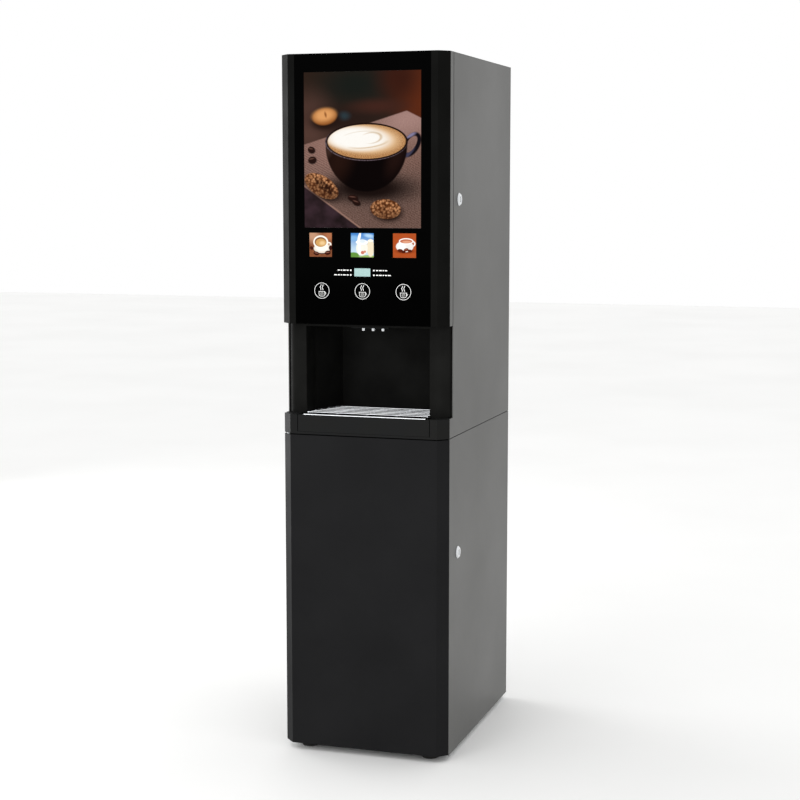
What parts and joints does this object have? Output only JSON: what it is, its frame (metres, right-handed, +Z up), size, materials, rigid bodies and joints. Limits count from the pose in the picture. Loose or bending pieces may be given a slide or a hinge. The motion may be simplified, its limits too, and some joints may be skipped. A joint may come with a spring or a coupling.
{
  "type": "hot drink vending machine",
  "caption": "Narrow floor-standing hot coffee vending machine: dispenser with lit front door, cup station and drip tray on a base cabinet with one door.",
  "frame": {"origin": "centre of the machine at floor level, under the feet", "axes": "+Z up, -Y towards the customer in front of the doors, +X towards the side with the locks"},
  "size_m": [0.3035, 0.4206, 1.214],
  "materials": {
    "grey_paint": "satin grey powder coat",
    "black_paint": "satin black powder coat",
    "black_moulding": "satin moulded",
    "black_panel": "high gloss",
    "print": "gloss print under clear film",
    "display_glass": "pale backlit display",
    "zinc_steel": "zinc plated sheet",
    "chrome": "polished",
    "circuit": "solder mask",
    "white_plastic": "moulded",
    "canister_plastic": "smoky translucent",
    "hose": "silicone",
    "red_rocker": "gloss",
    "jug_plastic": "translucent blown",
    "bucket_plastic": "moulded",
    "foot_rubber": "moulded"
  },
  "bodies": {
    "case": {"upper_left_side": "grey_paint", "upper_right_side": "grey_paint", "upper_top": "grey_paint", "upper_back": "grey_paint", "cabinet_left_side": "grey_paint", "cabinet_right_side": "grey_paint", "cabinet_back": "grey_paint", "cup_station": "black_moulding", "tray_housing": "black_moulding", "nozzle_block": "black_moulding", "fan_frame": "black_moulding", "power_inlet": "black_moulding", "canister_lids": "black_moulding", "jug_cap": "black_moulding", "upper_base": "zinc_steel", "motor_plate": "zinc_steel", "canister_shelf": "zinc_steel", "hinge_plates": "zinc_steel", "cabinet_top": "zinc_steel", "cabinet_floor": "zinc_steel", "auger_motors": "zinc_steel", "whisk_motors": "zinc_steel", "power_supply": "zinc_steel", "water_pump": "zinc_steel", "water_tank": "zinc_steel", "nozzles": "chrome", "hinge_pins": "chrome", "lock_bodies": "chrome", "joining_bolts": "chrome", "control_board": "circuit", "water_valves": "white_plastic", "mixing_bowls": "white_plastic", "left_canister": "canister_plastic", "middle_canister": "canister_plastic", "right_canister": "canister_plastic", "drink_hoses": "hose", "water_jug": "jug_plastic", "waste_bucket": "bucket_plastic", "feet": "foot_rubber"},
    "upper_door": {"door_pan": "grey_paint", "door_front": "black_moulding", "front_panel": "black_panel", "poster": "print", "drink_pictures": "print", "display": "display_glass", "light_panel": "white_plastic", "touch_board": "circuit"},
    "base_door": {"cabinet_door": "black_paint"},
    "tray": {"drip_tray": "black_moulding"},
    "rack": {"wire_rack": "chrome"},
    "upper_lock": {"door_lock_plug": "chrome"},
    "base_lock": {"cabinet_lock_plug": "chrome"},
    "left_screw": {"left_auger": "white_plastic"},
    "middle_screw": {"middle_auger": "white_plastic"},
    "right_screw": {"right_auger": "white_plastic"},
    "left_mixer": {"left_whisk": "white_plastic"},
    "middle_mixer": {"middle_whisk": "white_plastic"},
    "right_mixer": {"right_whisk": "white_plastic"},
    "fan": {"fan_rotor": "black_moulding"},
    "rocker": {"switch_rocker": "red_rocker"}
  },
  "joints": [
    {"name": "upper_door_hinge", "type": "hinge", "parent": "case", "child": "upper_door", "pos_m": [-0.1445, -0.1815, 0.98], "axis": [0, 0, -1], "range_deg": [0, 105]},
    {"name": "base_door_hinge", "type": "hinge", "parent": "case", "child": "base_door", "pos_m": [-0.139, -0.197, 0.29], "axis": [0, 0, -1], "range_deg": [0, 105]},
    {"name": "tray_slide", "type": "slide", "parent": "case", "child": "tray", "axis": [0, -1, 0], "range_m": [0, 0.12]},
    {"name": "rack_lift", "type": "slide", "parent": "tray", "child": "rack", "axis": [0, 0, 1], "range_m": [0, 0.06]},
    {"name": "upper_lock_turn", "type": "hinge", "parent": "case", "child": "upper_lock", "pos_m": [0.14, -0.142, 0.97], "axis": [-1, 0, 0], "range_deg": [0, 90]},
    {"name": "base_lock_turn", "type": "hinge", "parent": "case", "child": "base_lock", "pos_m": [0.14, -0.142, 0.3605], "axis": [-1, 0, 0], "range_deg": [0, 90]},
    {"name": "left_screw_turn", "type": "hinge", "parent": "case", "child": "left_screw", "pos_m": [-0.094, -0.03, 0.9675], "axis": [0, 1, 0], "continuous": true},
    {"name": "middle_screw_turn", "type": "hinge", "parent": "case", "child": "middle_screw", "pos_m": [0, -0.03, 0.9675], "axis": [0, 1, 0], "continuous": true},
    {"name": "right_screw_turn", "type": "hinge", "parent": "case", "child": "right_screw", "pos_m": [0.094, -0.03, 0.9675], "axis": [0, 1, 0], "continuous": true},
    {"name": "left_mixer_turn", "type": "hinge", "parent": "case", "child": "left_mixer", "pos_m": [-0.094, -0.12, 0.8675], "axis": [0, 1, 0], "continuous": true},
    {"name": "middle_mixer_turn", "type": "hinge", "parent": "case", "child": "middle_mixer", "pos_m": [0, -0.12, 0.8675], "axis": [0, 1, 0], "continuous": true},
    {"name": "right_mixer_turn", "type": "hinge", "parent": "case", "child": "right_mixer", "pos_m": [0.094, -0.12, 0.8675], "axis": [0, 1, 0], "continuous": true},
    {"name": "fan_turn", "type": "hinge", "parent": "case", "child": "fan", "pos_m": [0.06, 0.195, 1.136], "axis": [0, 1, 0], "continuous": true},
    {"name": "rocker_tilt", "type": "hinge", "parent": "case", "child": "rocker", "pos_m": [0.05, 0.203, 0.61], "axis": [1, 0, 0], "range_deg": [0, 14]}
  ]
}
